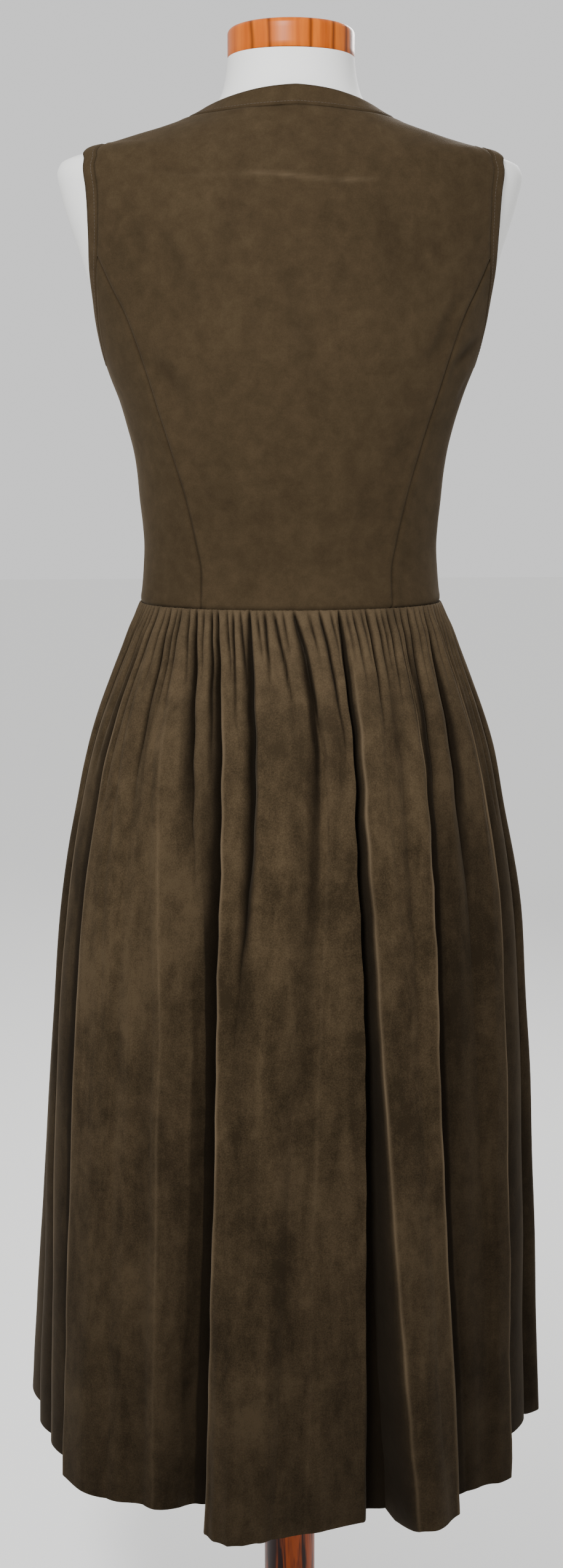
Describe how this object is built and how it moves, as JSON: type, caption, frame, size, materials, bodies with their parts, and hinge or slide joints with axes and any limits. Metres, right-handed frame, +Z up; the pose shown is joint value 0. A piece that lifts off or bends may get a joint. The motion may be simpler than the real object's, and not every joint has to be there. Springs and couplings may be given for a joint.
{
  "type": "sleeveless dirndl on a limbless dress form with stand",
  "caption": "Sleeveless knee-length dirndl with princess-seamed bodice and closely gathered skirt, worn by a limbless dress form on a round wooden stand.",
  "frame": {"origin": "on the floor under the middle of the round base, on the pole's axis", "axes": "+Z up along the pole; the garment's front faces -Y and the wearer's left side is +X"},
  "size_m": [0.4594, 0.4618, 1.5123],
  "materials": {
    "cloth": "soft suede-like microfibre, matt with a light nap",
    "form_shell": "smooth satin white",
    "cap_wood": "varnished orange-brown with dark grain",
    "stand_wood": "varnished dark red-brown"
  },
  "bodies": {
    "root": {"bodice_back": "cloth", "side_back_left": "cloth", "side_back_right": "cloth", "side_front_left": "cloth", "side_front_right": "cloth", "bodice_front_left": "cloth", "bodice_front_right": "cloth", "neck_band": "cloth", "armhole_band_left": "cloth", "armhole_band_right": "cloth", "skirt_back": "cloth", "skirt_front": "cloth", "form_torso": "form_shell", "form_neck_cap": "cap_wood", "stand_pole": "stand_wood", "stand_base": "stand_wood"}
  },
  "joints": []
}
